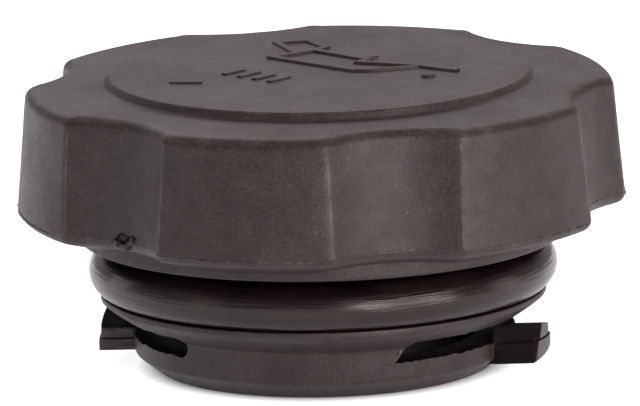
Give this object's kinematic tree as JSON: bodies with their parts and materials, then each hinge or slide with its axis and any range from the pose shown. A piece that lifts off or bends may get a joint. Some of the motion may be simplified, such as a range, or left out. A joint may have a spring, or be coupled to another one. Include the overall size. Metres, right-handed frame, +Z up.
{
  "type": "oil filler cap",
  "caption": "Bayonet oil filler cap: lobed hand grip with an oil can sign on its raised disc, round rubber seal ring, and an open stub with two lugs.",
  "frame": {"origin": "centre of the open end of the stub, on the plane that the cap stands on", "axes": "+Z up along the axis of the cap to the raised disc; +X through the middle of one bayonet lug; +Y through the middle of a lobe"},
  "size_m": [0.0644, 0.066, 0.0326],
  "materials": {
    "body_plastic": "black glass-filled nylon as moulded, with a fine matt texture",
    "seal_rubber": "black oil-resistant rubber, smooth and slightly shiny"
  },
  "bodies": {
    "root": {"cap_body": "body_plastic", "seal_ring": "seal_rubber"}
  },
  "joints": []
}
